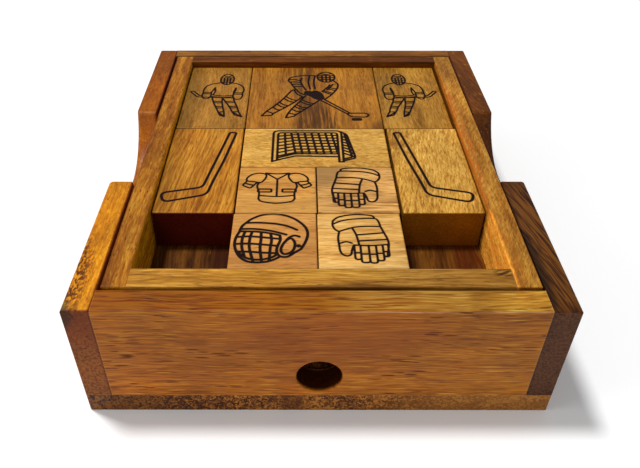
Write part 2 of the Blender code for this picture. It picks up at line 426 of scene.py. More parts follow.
frontWallSettings = {
    "node": "front_wall", "body": "box",
    "grow": gluedBetween,
    "holeWidth": 14.4, "holeHeight": 17.1, "holeSteps": 18,
    "easing": {"-y +z": 0.9, "+y +z": 0.7, "-y curve": 0.7, "+y curve": 0.3, "other": 0.06},
    "wood": {
        "offset": (5, 3, 60),
        "shades": ((132, 70, 22), (174, 101, 34), (202, 130, 52)),
        "bandSize": (110, 12), "band": 0.3, "wander": 2.0,
        "figure": ((26, 0.6, 0.5, -1, 0.2), (7, 0.5, 0.5, 0, 0.4)),
        "poreColour": (78, 20, 8), "poreSize": (5.4, 0.6), "poreShare": 0.85, "poreStrength": 1.0,
        "poreGather": 1.0, "poreDrift": (30.0, 3.0), "tint": (1.07, 1.04, 0.64),
        "fleckColour": (230, 170, 96), "fleckSize": (9, 0.5), "fleckShare": 0.35, "fleckStrength": 0.5,
        "patches": ({"middle": (5, -90, 36), "reach": (40, 5, 16), "colour": (152, 76, 34),
                     "strength": 0.4},
                    {"middle": (-25, -85, 46.6), "reach": (80, 30, 1.0), "grain": (16, 0.7),
                     "colour": (236, 180, 104), "strength": 0.5}),
        "washes": (("z", 11, 25, (0.84, 0.84, 0.78)), ("x", 0, 50, (1.05, 1.15, 1.1)),
                   ("z", 45.9, 46.4, (0.56, 0.37, 0.045)),
                   ("x", -60, 0, (1.06, 1.25, 2.7), ("z", 45.9, 46.4)),
                   ("x", 0, 60, (2.05, 3.8, 30.0), ("z", 45.9, 46.4)),
                   # painted shade: the inside of the hole is darkened, as shade falls in it
                   ("y", -89.8, -88.6, (0.10, 0.06, 0.05), ("y", -81.0, -81.6), ("x", 7.6, 7.3),
                    ("x", -7.6, -7.3), ("z", 24.7, 24.4), ("z", 9.5, 9.8))),
    },
}


def frontWallWithHole(name, settings):
    low, high = grownBox(settings["node"], settings["grow"])
    radius = settings["holeWidth"] / 2
    height = settings["holeHeight"]
    arc = []
    for step in range(settings["holeSteps"] + 1):
        angle = math.pi * step / settings["holeSteps"] - math.pi / 2
        arc.append((radius * math.cos(angle), height + radius * math.sin(angle)))
    rightHalf = [(0, low.z), (high.x, low.z), (high.x, high.z), (0, high.z)] + arc[::-1]
    leftHalf = [(0, low.z), (low.x, low.z), (low.x, high.z), (0, high.z)]
    leftHalf += [(-across, up) for across, up in arc[::-1]]
    makeBoard(name, settings, [rightHalf, leftHalf], "y", low.y, high.y)


frontWallWithHole("frontWall", frontWallSettings)

backWallSettings = {
    "node": "back_wall", "body": "box",
    "grow": gluedBetween,
    "easing": {"+y +z": 0.7, "-y +z": 0.5, "other": 0.06},
    "wood": {
        "offset": (70, 20, 30),
        "shades": ((104, 60, 20), (150, 100, 44), (184, 134, 70)),
        "bandSize": (90, 4), "band": 0.7, "tint": (0.8, 0.68, 0.45),
        "figure": ((20, 0.7, 0.6, 0, 0.2), (6, 0.5, 0.35, 0, 0.4)),
    },
}
plainBoard("backWall", backWallSettings)

leftWallSettings = {
    "node": "left_wall", "body": "box", "grow": gluedBelow,
    "notchOpening": 50.8, "notchDepth": 17.6, "notchSteps": 18,
    "easing": {"-x +z": 0.8, "+x +z": 0.5, "-y +z": 0.45, "+y +z": 0.9, "-x -y": 0.35, "-x +y": 1.0,
               "-x curve": 2.0, "+x curve": 1.4, "curve +z": 1.3, "other": 0.06},
    "wood": {
        "turn": alongDepth, "offset": (30, 50, 10),
        "shades": ((118, 58, 8), (156, 86, 14), (190, 118, 30)),
        "bandSize": (60, 9), "band": 0.35,
        "figure": ((7, 1.2, 0.35, 6, 0.5), (2.0, 0.8, 0.3, 0, 0.8)),
        "fleckColour": (200, 140, 60), "fleckSize": (2.6, 0.9), "fleckShare": 0.4, "fleckStrength": 0.3,
        "poreSize": (1.6, 0.6), "poreShare": 0.3, "poreStrength": 0.6, "tint": (1.0, 0.97, 0.62),
        "washes": (("y", 0, -30, (1.95, 2.6, 2.6)), ("y", -89.0, -89.7, (0.29, 0.16, 0.08)),
                   ("y", 89.0, 89.7, (0.7, 0.65, 0.6)), ("y", 20, 30, (0.8, 0.74, 0.12)),
                   # painted shade: the first wash below darkens the inner face in the gap to the tray
                   ("x", -67.6, -67.2, (0.45, 0.3, 0.3)), ("z", 45.2, 46.0, (1.06, 1.06, 0.95))),
        "patches": (
            {"middle": (-76, -78, 46), "reach": (8, 30, 8), "grain": (1.7, 0.85), "colour": (64, 22, 4),
             "strength": 0.95},
            {"middle": (-77, -90, 45), "reach": (6, 8, 9), "colour": (84, 54, 40), "strength": 0.9},
            {"middle": (-75, -60, 24), "reach": (3, 40, 26), "grain": (6, 2.0), "colour": (90, 40, 10),
             "strength": 0.7},
            {"middle": (-71, -91, 14), "reach": (16, 3, 30), "grain": (2, 0.9), "colour": (240, 190, 130),
             "strength": 0.36},
        ),
        "endGrainAndPaintedShade": (1.0, 0.95, 0.9), "endCalm": 0.3,
    },
}
rightWallSettings = {
    "node": "right_wall", "body": "box", "grow": gluedBelow,
    "notchOpening": 50.8, "notchDepth": 15.4, "notchSteps": 18,
    "easing": {"+x +z": 0.8, "-x +z": 0.5, "-y +z": 0.45, "+y +z": 0.9, "+x -y": 0.35, "+x +y": 1.0,
               "+x curve": 1.3, "-x curve": 0.8, "curve +z": 1.0, "other": 0.06},
    "wood": {
        "turn": (0, 0, 73), "offset": (11, 32, 5),
        "shades": ((58, 32, 12), (96, 57, 22), (130, 84, 38)),
        "bandSize": (50, 10), "band": 0.4, "wander": 3.0, "tint": (0.45, 0.33, 0.22),
        "figure": ((14, 0.9, 0.3, 0, 0.3), (4, 0.6, 0.3, 0, 0.6)),
        "poreStrength": 0.4, "fleckColour": (190, 138, 84), "fleckShare": 0.45, "fleckStrength": 0.5,
        "fleckSize": (3.0, 0.6),
        "patches": (
            {"middle": (71, -55, 46), "reach": (12, 52, 12), "grain": (24, 2.4), "colour": (42, 22, 10),
             "strength": 0.85},
            {"middle": (71, -58, 46), "reach": (12, 46, 12), "grain": (18, 0.8), "angle": 4,
             "colour": (190, 138, 74), "strength": 0.65},
            # painted shade: the next patch darkens the inner edge of the top beside the tray
            {"middle": (66, -72, 47), "reach": (5, 26, 5), "colour": (50, 34, 16), "strength": 0.8},
            {"middle": (71, -91, 24), "reach": (16, 3, 30), "grain": (2, 0.8), "colour": (170, 130, 96),
             "strength": 0.4},
        ),
        "washes": (("y", -89.0, -89.7, (0.97, 0.87, 0.47)), ("y", 22, 30, (2.5, 2.6, 0.3)),
                   # painted shade: the next wash darkens the inner face in the gap to the tray
                   ("x", 67.6, 67.2, (0.5, 0.4, 0.4))),
        "endGrainAndPaintedShade": (0.95, 0.95, 1.1), "endCalm": 0.5,
    },
}


def notchedWall(name, settings, notchMiddle):
    low, high = grownBox(settings["node"], settings["grow"])
    halfOpening = settings["notchOpening"] / 2
    depth = settings["notchDepth"]
    radius = (halfOpening ** 2 + depth ** 2) / (2 * depth)
    halfAngle = math.asin(halfOpening / radius)
    arc = []
    for step in range(settings["notchSteps"] + 1):
        angle = halfAngle * (1 - 2 * step / settings["notchSteps"])
        back = notchMiddle + radius * math.sin(angle)
        arc.append((back, high.z - depth + radius * (1 - math.cos(angle))))
    outline = [(low.y, low.z), (high.y, low.z), (high.y, high.z), *arc, (low.y, high.z)]
    makeBoard(name, settings, [outline], "x", low.x, high.x)


wellMiddle = (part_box("front_wall")[1].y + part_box("back_wall")[0].y) / 2 / mm
notchedWall("leftWall", leftWallSettings, wellMiddle)
notchedWall("rightWall", rightWallSettings, wellMiddle)
print("box walls built")

sideRailEasing = {"-x +z": 0.4, "+x +z": 0.4, "-y +z": 0.5, "+y +z": 0.4, "other": 0.08}
crossRailEasing = {"-y +z": 0.4, "+y +z": 0.4, "other": 0.06}
trayFloorSettings = {
    "node": "tray_floor", "body": "tray",
    "easing": {"-z -x": 0.5, "-z +x": 0.5, "-z -y": 0.5, "-z +y": 0.5, "other": 0.08},
    "wood": {
        "turn": alongDepth, "offset": (90, 14, 2),
        "shades": ((84, 50, 16), (124, 80, 30), (156, 108, 46)),
        "bandSize": (70, 3), "band": 1.0, "figure": ((16, 0.8, 0.6, 0, 0.3),), "tint": (0.54, 0.43, 0.34),
        "patches": (
            {"middle": (-33, -55, 28), "reach": (7, 30, 6), "colour": (74, 26, 8), "strength": 0.85},
            {"middle": (55, -50, 28), "reach": (9, 40, 6), "grain": (14, 0.8), "colour": (112, 46, 16),
             "strength": 0.85},
        ),
    },
}
leftRailSettings = {
    "node": "tray_left_rail", "body": "tray", "grow": gluedBelow,
    "easing": sideRailEasing,
    "wood": {
        "turn": alongDepth, "offset": (3, 77, 9),
        "shades": ((126, 70, 14), (166, 104, 32), (210, 156, 78)),
        "bandSize": (40, 3), "band": 0.6,
        "figure": ((6, 0.8, 0.4, 4, 0.4), (3, 0.5, 0.3, 0, 0.6)), "tint": (0.92, 0.84, 0.45),
        "fleckColour": (226, 176, 104), "fleckSize": (3.2, 0.8), "fleckShare": 0.3, "fleckStrength": 0.4,
        # painted light: the upright faces, the inner one in shade, are made brighter
        "poreSize": (1.8, 0.5), "poreShare": 0.4, "sides": (2.45, 3.2, 1.5),
        # painted shade: the outer face in the gap to the wall, and the inner face below the block tops, are
        # darkened
        "washes": (("x", -65.2, -65.8, (0.5, 0.35, 0.35)),
                   ("z", 44.0, 43.4, (0.6, 0.54, 0.5), ("y", -41, -38), ("x", -60.6, -59.8))),
    },
}
rightRailSettings = {
    "node": "tray_right_rail", "body": "tray", "grow": gluedBelow,
    "easing": sideRailEasing,
    "wood": {
        "turn": alongDepth, "offset": (61, 22, 40),
        "shades": ((128, 74, 24), (172, 116, 46), (210, 160, 84)),
        "bandSize": (30, 3), "band": 0.5,
        "figure": ((4.0, 0.7, 0.4, 22, 0.6), (1.8, 0.5, 0.3, 12, 0.8)), "tint": (0.97, 0.95, 0.8),
        "fleckColour": (226, 178, 108), "fleckSize": (2.6, 0.7), "fleckShare": 0.35, "fleckStrength": 0.35,
        "patches": ({"middle": (59, 10, 46.6), "reach": (3.4, 70, 5), "grain": (5, 0.8), "angle": 18,
                     "colour": (188, 92, 34), "strength": 0.75},
                    {"middle": (60, -60, 42), "reach": (4, 30, 10), "grain": (8, 1.0), "angle": 10,
                     "colour": (196, 112, 44), "strength": 0.4}),
        # painted light: the upright faces are made brighter
        "sides": (1.36, 1.28, 1.4),
        # painted light on the inner face beside the empty front cell, and painted shade on the inner face
        # below the block tops
        "washes": (("y", -40, -44, (2.3, 2.5, 2.6), ("x", 60.0, 59.2)),
                   ("z", 44.2, 43.5, (0.5, 0.42, 0.36), ("y", -41, -39), ("x", 60.0, 59.2))),
    },
}
frontRailSettings = {
    "node": "tray_front_rail", "body": "tray", "grow": gluedBetween,
    "easing": crossRailEasing,
    "wood": {
        "offset": (41, 9, 80),
        "shades": ((124, 80, 30), (174, 120, 50), (208, 158, 84)),
        "bandSize": (80, 3), "band": 0.6,
        "figure": ((18, 0.7, 0.6, 0, 0.3), (5, 0.5, 0.3, 0, 0.4)),
        "washes": (("x", -10, 25, (0.62, 0.63, 0.78)),), "tint": (1.16, 1.14, 0.9),
        "patches": ({"middle": (57, -73.6, 46), "reach": (5, 2.4, 4), "grain": (6, 0.6), "angle": -25,
                     "colour": (70, 32, 10), "strength": 0.9},
                    # painted shade: the next patch darkens the front face and arris in the gap to the front
                    # wall
                    {"middle": (10, -80, 46), "reach": (22, 2.2, 3), "colour": (96, 56, 20),
                     "strength": 0.7}),
    },
}
backRailSettings = {
    "node": "tray_back_rail", "body": "tray", "grow": gluedBetween,
    "easing": crossRailEasing,
    "wood": {
        "offset": (19, 55, 21),
        "shades": ((78, 42, 10), (112, 66, 18), (142, 92, 34)),
        "bandSize": (80, 3), "band": 0.6, "figure": ((18, 0.8, 0.6, 0, 0.3),), "tint": (0.82, 0.62, 0.1),
    },
}
plainBoard("trayFloor", trayFloorSettings)
plainBoard("trayLeftRail", leftRailSettings)
plainBoard("trayRightRail", rightRailSettings)
plainBoard("trayFrontRail", frontRailSettings)
plainBoard("trayBackRail", backRailSettings)
print("tray built")

# the two strips under the tray are plain, so they keep their CAD shape
cleatWood = {"turn": alongDepth, "offset": (50, 90, 44), "bandSize": (60, 4), "tint": (0.6, 0.55, 0.5)}
for cleatName in ("left_cleat", "right_cleat"):
    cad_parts[cleatName].material_slots[0].material = makeWood(cleatName + "Wood", cleatWood)


# engraving: a stroke is a line of points in mm from the middle of a block's top, x right and y back
strokeStep = 0.45          # mm between the points of a curve


def smooth(*points, closed=False):
    # a flowing line through the points
    spots = [Vector(point) for point in points]
    last = len(spots) - 1
    line = []
    for index in range(last + closed):
        start, end = spots[index], spots[(index + 1) % (last + 1)]
        before = spots[index - 1] if closed or index else start
        after = spots[(index + 2) % (last + 1)] if closed or index + 1 < last else end
        steps = max(2, round((end - start).length / strokeStep))
        for step in range(steps):
            share = step / steps
            bend = (before * 2 - start * 5 + end * 4 - after) * share ** 2
            bend += (start * 3 - before - end * 3 + after) * share ** 3
            line.append((start * 2 + (end - before) * share + bend) / 2)
    line.append(line[0] if closed else spots[-1])
    return line


def rounded(*corners, closed=False):
    # straight runs with rounded corners, a third number is how far the rounding reaches
    spots = [Vector(corner[:2]) for corner in corners]
    reaches = [corner[2] if len(corner) > 2 else 0.4 for corner in corners]
    line = []
    for index, spot in enumerate(spots):
        if not closed and index in (0, len(spots) - 1):
            line.append(spot)
            continue
        toBefore = spots[index - 1] - spot
        toAfter = spots[(index + 1) % len(spots)] - spot
        start = spot + toBefore.normalized() * min(reaches[index], toBefore.length * 0.45)
        end = spot + toAfter.normalized() * min(reaches[index], toAfter.length * 0.45)
        steps = max(3, round(2 * reaches[index] / strokeStep))
        for step in range(steps + 1):
            share = step / steps
            line.append(start.lerp(spot, share).lerp(spot.lerp(end, share), share))
    if closed:
        line.append(line[0])
    return line


def straight(*points):
    # straight runs from point to point
    return [Vector(point) for point in points]


def oval(middle, halfWidth, halfHeight, start=0, end=360):
    steps = max(8, round(math.radians(end - start) * max(halfWidth, halfHeight) / strokeStep))
    angles = [math.radians(start + (end - start) * step / steps) for step in range(steps + 1)]
    return [Vector((middle[0] + halfWidth * math.cos(angle), middle[1] + halfHeight * math.sin(angle)))
            for angle in angles]


def alongLine(line, share):
    # the point a given share of the way along a line
    runs = [(start, end, (end - start).length) for start, end in zip(line, line[1:])]
    left = share * sum(run[2] for run in runs)
    for start, end, length in runs:
        if left <= length and length > 0:
            return start.lerp(end, left / length)
        left -= length
    return line[-1]


def rungs(first, second, shares, sag=0.0):
    # cross lines from one line to another, as in a net or a striped sock
    lines = []
    for share in shares:
        start, end = alongLine(first, share), alongLine(second, share)
        middle = start.lerp(end, 0.5) - Vector((0, sag))
        lines.append(smooth(start, middle, end) if sag else [start, end])
    return lines


def evenShares(count, start=0.0, end=1.0):
    return [start + (end - start) * (index + 0.5) / count for index in range(count)]


def hatch(outline, spacing=0.5):
    # close level strokes that burn an area dark
    lines = []
    level = min(spot.y for spot in outline) + spacing
    while level < max(spot.y for spot in outline) - spacing / 2:
        crossings = []
        for start, end in zip(outline, outline[1:] + outline[:1]):
            if (start.y > level) != (end.y > level):
                crossings.append(start.x + (end.x - start.x) * (level - start.y) / (end.y - start.y))
        crossings.sort()
        for left, right in zip(crossings[::2], crossings[1::2]):
            if right - left > spacing / 2:
                lines.append(straight((left, level), (right, level)))
        level += spacing
    return lines


def mirrored(strokes):
    return [[Vector((-spot.x, spot.y)) for spot in stroke] for stroke in strokes]


def shifted(strokes, across, back):
    return [[spot + Vector((across, back)) for spot in stroke] for stroke in strokes]


def stickStrokes():
    # one outline round the shaft and the blade
    return [rounded((8.8, 25.4, 0.6), (11.5, 25.2, 0.9), (8.3, 5, 6), (5.2, -10.4, 4), (3.9, -18.2, 2.6),
                    (-11.3, -22.8, 2.6), (-12.9, -17.2, 2.4), (1.9, -13.6, 2.2), closed=True)]


def netStrokes():
    # a goal seen from its front right: frame, side, floor, then the mesh of the net
    outerFrame = rounded((-16.9, -10.9), (-16.9, 12.3, 2.4), (10.9, 12.3, 2.4), (10.9, -11.1))
    innerFrame = rounded((-15, -9.9), (-15, 10.7, 1.6), (9.2, 10.7, 1.6), (9.2, -11.1))
    feet = [straight((-16.9, -10.9), (-15, -9.9)), straight((9.2, -11.1), (10.9, -11.1))]
    sideEdge = rounded((10.8, 11.5), (13, 9.6, 1.4), (15.5, -6.9, 1), (15.4, -8.5, 0.6), (10.9, -10.4))
    sideInner = rounded((12, 10.4), (14.2, -6.4), (14.2, -7.8, 0.4), (10.9, -9.2))
    floorFront = rounded((-15, -9.9), (-8, -6.9, 0.8), (9.2, -7.4))
    floorBack = rounded((-15, -8.3), (-8, -5.3, 0.8), (9.2, -5.4))
    cornerLine = straight((-9.7, 10.6), (-7.8, -5.5))
    backTop = straight((-9.7, 10.6), (9.2, 10.6))
    backFloor = straight((-7.8, -5.4), (11.4, -5.4))
    backEdge = straight((9.2, 10), (9.2, -5.4))
    leftEdge = straight((-15, 10), (-15, -8.3))
    strokes = [outerFrame, innerFrame, *feet, sideEdge, sideInner, floorFront, floorBack, cornerLine]
    strokes += rungs(backTop, backFloor, [0.14, 0.29, 0.44, 0.59, 0.74, 0.87])
    strokes += rungs(cornerLine, backEdge, evenShares(7, 0.02, 0.98))
    strokes += rungs(leftEdge, cornerLine, evenShares(7, 0.04, 1))
    strokes += rungs(straight((10.9, 10), (10.9, -9.6)), sideEdge[6:], evenShares(7, 0.06, 0.80))
    strokes.append(straight((-12.3, 10.6), (-11.6, -6.9)))
    return strokes


def shoulderPadStrokes():
    # drawn for the right side, then mirrored
    half = [
        smooth((4.5, 9.3), (6.8, 10), (9.4, 9.2), (11.2, 7), (11.2, 5), (8.8, 4.5), (6.2, 3.9), (4.9, 5.6),
               (4.2, 7.6), closed=True),
        rounded((11.2, 4.8, 0.5), (12.8, 2.1, 0.8), (9.8, 0.2, 0.6), (7.4, 4, 0.5)),
        smooth((8.5, 2.2), (10.2, 2.6), (12, 3.6)),
        smooth((6.6, 4), (7.3, 1.6), (6.6, -1.4), (6.4, -3.6), (6.5, -6.2)),
        rounded((2, -0.3), (6.9, -0.3), (6.9, -2.1), (2, -2.1), closed=True),
    ]
    collar = [smooth((-4.4, 10.1), (0, 9.6), (4.4, 10.1)), rounded((-4.4, 10.1), (0, 6, 0.8), (4.4, 10.1)),
              straight((0, 6), (0, -4.6))]
    waist = [smooth((-6.4, -4.2), (0, -4.9), (6.4, -4.2)),
             smooth((-6.5, -6.2), (-5.2, -7.9), (0, -8.9), (5.2, -7.9), (6.5, -6.2))]
    return half + mirrored(half) + collar + waist


def gloveStrokes():
    # cuff, heel and thumb, then the fingers one by one
    cuffTop = smooth((-9.4, 10), (-7.8, 11.8), (-4.8, 13), (-1.4, 13.5), (1.9, 13.3), (4.4, 12.7),
                     (4.9, 11.2))
    cuffFold = smooth((-9.4, 8.2), (-6.8, 9.8), (-3.5, 10.8), (0.3, 11.2), (3.6, 11.3), (5.6, 10.9),
                      (6.3, 9), (6.6, 6.9))
    cuffLeft = smooth((-9.4, 10), (-9.6, 7.6), (-8.9, 5.4), (-7.5, 4))
    wrist = smooth((-7.5, 4.2), (-3.1, 6.2), (0.7, 6.9), (6.6, 6.9))
    heel = smooth((-7.5, 4.1), (-8, 0.6), (-7.8, -3.2), (-7.6, -5.8), (-6.9, -7.5), (-5.5, -8.3),
                  (-4.2, -7.6), (-3.7, -5.2), (-3, -2.9))
    thumbTop = smooth((-7.5, -2), (-5.4, -1.2), (-3.6, -1.9))
    palmEdge = smooth((-3.1, 6.2), (-1.9, 2.4), (-1.2, -3))
    rightEdge = smooth((6.6, 6.9), (7.4, 3.8), (8.3, 0.4), (8.5, -2.6), (7.9, -6.2), (7.6, -8))
    strokes = [cuffTop, cuffFold, cuffLeft, wrist, heel, thumbTop, palmEdge, rightEdge]
    strokes += [straight((-1.8, 2.4), (7.6, 3.5)), straight((-1.3, -0.8), (8.3, 0))]
    strokes.append(smooth((-3, -2.9), (2.4, -3.1), (8.4, -2.6)))
    fingers = ((-2.9, -0.9, -10), (-0.9, 1.8, -11.5), (1.8, 4.2, -11.7), (4.2, 6.4, -10.6),
               (6.4, 8.2, -8.6))
    for left, right, tip in fingers:
        strokes.append(rounded((left, -3), (left, tip, 1), (right, tip, 1), (right, -3)))
        strokes.append(straight((left, tip * 0.42 - 2.6), (right, tip * 0.42 - 2.5)))
    return strokes


def helmetStrokes():
    # the helmet faces left, and its cage is empty
    shell = smooth((-11.7, 5.4), (-11.1, 7.2), (-10, 8.8), (-8, 11.1), (-5, 13), (-1.3, 13.7), (2.5, 13.2),
                   (5.9, 11.5), (8.7, 8.8), (10.5, 5.8), (11, 2.4), (10.2, -1.4), (8.7, -5))
    band = smooth((-10, 8.7), (-6, 8.9), (0, 8.3), (4.2, 7), (7.4, 5))
    brim = [smooth((-11.7, 5.4), (-7, 5.5), (-1.5, 4.5), (3.8, 2.5)),
            smooth((-11.2, 4.2), (-6, 4), (-1.3, 3.1), (1.6, 2.1)),
            straight((-11.7, 5.4), (-11.9, 4.2))]
    strap = smooth((1.7, 2), (1.9, -0.4), (1, -3.8), (0.9, -6.4), (2, -8.5), (4.4, -8.7), (6.8, -6.6),
                   (8.7, -5))
    earCup = smooth((2.9, -2.4), (2.2, -5), (2.7, -7), (4, -7.4), (5.8, -6.2), (6.7, -3.8), (6.6, -1.2),
                    (5.4, 0.5), (3.9, -0.6), closed=True)
    crease = smooth((3.6, -1.2), (4.8, 0.9), (6.6, 2), (8.2, 1.4))
    rivet = oval((8, -3.3), 0.35, 0.35)
    cage = smooth((-11.8, 4.2), (-12.8, 1.2), (-13.1, -2.2), (-12.4, -5.8), (-10.8, -9), (-8.4, -11),
                  (-5.4, -11.5), (-2.1, -11.1), (0.5, -9.8), (2, -8.6))
    chin = smooth((-12, -6), (-9.9, -8.6), (-7.4, -9.9), (-4, -10.1), (-0.6, -9), (1.1, -7.4))
    strokes = [shell, band, *brim, strap, earCup, crease, rivet, cage, chin]
    strokes += [smooth((-12.8, 1.2), (-8.2, 1.5), (-3, 0.9), (1.8, 0.2)),
                smooth((-13.1, -2.4), (-8.4, -2.2), (-3, -2.8), (1.2, -3.4)),
                smooth((-12.2, -6.2), (-8, -6.3), (-3, -6.8), (0.9, -7))]
    strokes += [smooth((-10, 4), (-10.7, 0.5), (-10.6, -4), (-9.4, -8.8)),
                smooth((-7.6, 4.1), (-8.2, 0.5), (-8.1, -4.4), (-6.6, -10.9)),
                smooth((-4.6, 3.8), (-4.5, 0.2), (-4.6, -4.6), (-3.8, -11.3)),
                smooth((-1.4, 3.2), (-1, -0.6), (-1.3, -4.8), (-1.4, -10.6))]
    return strokes


def cagedHead(middle, halfWidth, halfHeight):
    # a helmet and a wire cage, with no face drawn behind it
    x, y = middle
    cageTop = y + halfHeight * 0.25
    strokes = [oval(middle, halfWidth, halfHeight)]
    strokes.append(smooth((x - halfWidth, cageTop), (x, cageTop + 0.5), (x + halfWidth, cageTop)))
    strokes.append(smooth((x - halfWidth * 0.7, y + halfHeight * 0.72), (x, y + halfHeight * 0.55),
                          (x + halfWidth * 0.7, y + halfHeight * 0.72)))
    for share in (-0.45, 0, 0.45):
        foot = y - halfHeight * math.sqrt(1 - share ** 2)
        strokes.append(straight((x + halfWidth * share, cageTop), (x + halfWidth * share, foot)))
    for share in (-0.1, -0.5):
        half = halfWidth * math.sqrt(1 - share ** 2)
        strokes.append(straight((x - half, y + halfHeight * share), (x + half, y + halfHeight * share)))
    return strokes


def playerStrokes():
    # a standing player with a stick held low across the body
    strokes = cagedHead((3.4, 15.9), 3.1, 5.4)
    strokes += [smooth((0.9, 12.4), (-2.6, 11.4), (-5.2, 9.4), (-6.4, 6), (-6.5, 2.9)),
                smooth((-1.5, 7.6), (-2.2, 5), (-2.8, 2.9)),
                smooth((-1.5, 7.6), (-1.2, 3.6), (-1.9, 0.4)),
                smooth((5.9, 12.4), (8.6, 11.2), (10.9, 8.8), (11.8, 5.4), (11.4, 2.4)),
                smooth((8.1, 7.4), (8, 4.8), (7.5, 2.4)),
                smooth((8.1, 7.4), (7.3, 3.6), (7.3, 0.2))]
    for left, right, top in ((-6.5, -2.8, 2.9), (7.5, 11.4, 2.4)):
        strokes += [straight((left, top), (right, top)),
                    straight((left + 0.1, top - 1.3), (right - 0.1, top - 1.3)),
                    smooth((left, top), (left - 0.2, top - 3.6), (left + 1, top - 6),
                           (right - 0.9, top - 5.8), (right, top - 3.4), (right, top))]
    strokes += [smooth((-2, 0.4), (2.6, -0.6), (7.3, 0.2)), smooth((-2.2, -1), (2.6, -2), (7.4, -1.2))]
    strokes += [rounded((7.4, -2.5), (-8.8, -1.5, 1.2), (-12.4, 3.6, 0.5), (-11.2, 4.4, 0.5),
                        (-7.9, -0.2, 1), (-6.6, -0.3))]
    legs = ((smooth((-2, -1.6), (-1.1, -6), (0.6, -11.2), (2, -15.4)),
             smooth((2.7, -2.4), (2.9, -6.4), (3.5, -10.6), (4.4, -15)),
             (4.9, -19.4), (2.9, -18.2)),
            (smooth((2.7, -2.4), (4.4, -6.2), (6.4, -10.6), (7.9, -15)),
             smooth((7.4, -1.6), (8.4, -6.2), (9.8, -10.8), (10.8, -15.2)),
             (12.4, -19.6), (9.2, -17.9)))
    for inner, outer, toe, heelSpot in legs:
        strokes += [inner, outer, *rungs(inner, outer, (0.26, 0.36, 0.62, 0.72), 0.3)]
        strokes.append(rounded(inner[-1], outer[-1], toe, heelSpot, closed=True))
        strokes.append(straight(inner[-1] + Vector((0.3, -0.3)), toe))
    return strokes


def skaterStrokes():
    # a player leaning into a stride, with a stick and a puck
    strokes = cagedHead((6.2, 18.4), 4.1, 5.2)
    strokes += [smooth((-7.8, 19.2), (-3, 20.2), (2.3, 19.6)),
                smooth((-7.8, 19.2), (-10.6, 17.6), (-11.4, 14.6), (-10.2, 12.2), (-9.4, 9.4), (-7.8, 5.6)),
                smooth((-5.2, 17.2), (-5.8, 14), (-4.8, 9.4), (-3.4, 5.2)),
                smooth((-11.2, 15.6), (-8.6, 15.9), (-5.6, 14.4)),
                smooth((-10.9, 13.2), (-8.2, 13.4), (-5.6, 12.6)),
                smooth((-9.8, 10.8), (-7.6, 11.2), (-5.2, 10.6)), smooth((-9, 8.4), (-7, 8.8), (-4.6, 8.4)),
                smooth((-1.6, 19.8), (-2.2, 13), (-1.4, 6.2)), smooth((1, 19.8), (0.4, 13), (0.8, 6.4)),
                smooth((9.6, 14.4), (11.4, 11.2), (10.8, 6.4), (8.2, 0.8), (5, -3.8)),
                smooth((7.8, 10.4), (6.2, 7.2), (4, 3.8)), smooth((9.2, 11), (8, 8.4), (6.4, 5.2))]
    strokes += rungs(smooth((6.6, 8.2), (4, 3.8)), smooth((11, 7), (8.2, 0.8)), (0.1, 0.35, 0.8, 1))
    gloves = smooth((-3.4, 3.8), (-0.6, 3.6), (1.2, 4.2), (3.2, 2.4), (4.2, -0.6), (4.4, -3.2), (2.6, -4),
                    (0.4, -2.8), (-1.4, -0.4), (-3.6, 1), closed=True)
    strokes += [gloves, *hatch(gloves[:-1], 0.55)]
    strokes += [smooth((-7.8, 5.6), (-9.4, 5.2), (-10.6, 3.2)),
                smooth((-7.6, 5.6), (-6.4, 2.6), (-4.2, 0.8)),
                smooth((-8.6, 4.8), (-7.4, 1.4), (-5.4, -0.8))]
    legs = ((smooth((-10.6, 3.2), (-13.6, -3.4), (-17, -9.4), (-20.6, -14.6)),
             smooth((-4.8, -1.2), (-9, -7), (-13.4, -12.2), (-17.6, -16.6)),
             (-18.2, -18.2), (-22.6, -18.8)),
            (smooth((-3.6, -0.4), (-6.6, -6.6), (-9.4, -12), (-11.2, -16.4)),
             smooth((2.4, -4.8), (-0.8, -9), (-4.2, -13.4), (-7.6, -17.4)),
             (-8.6, -19), (-12.2, -20.4)))
    for outer, inner, heelSpot, toe in legs:
        strokes += [outer, inner, *rungs(outer, inner, (0.22, 0.32, 0.52, 0.62, 0.78), 0.9)]
        strokes.append(rounded(outer[-1], inner[-1], heelSpot, toe, closed=True))
    strokes += [straight((3.4, -4.8), (14.2, -16.8)), straight((4.9, -3.9), (15.6, -16.3)),
                rounded((14.2, -16.8), (15.6, -16.3), (22.2, -16.2, 1), (23.6, -17.8, 0.8),
                        (22.4, -19.7, 0.8), (15.8, -19.4, 1.2), closed=True)]
    puck = rounded((16.4, -20.9), (19.9, -20.9), (19.9, -22.4), (16.4, -22.4), closed=True)
    return strokes + [puck, *hatch(puck[:-1])]


# the burnt groove: lower near a stroke, scorched a little past it
grooveFloor = 0.58         # of a line's width is flat at the bottom of its groove
topMargin = 0.01           # mm below the top that still counts as the top


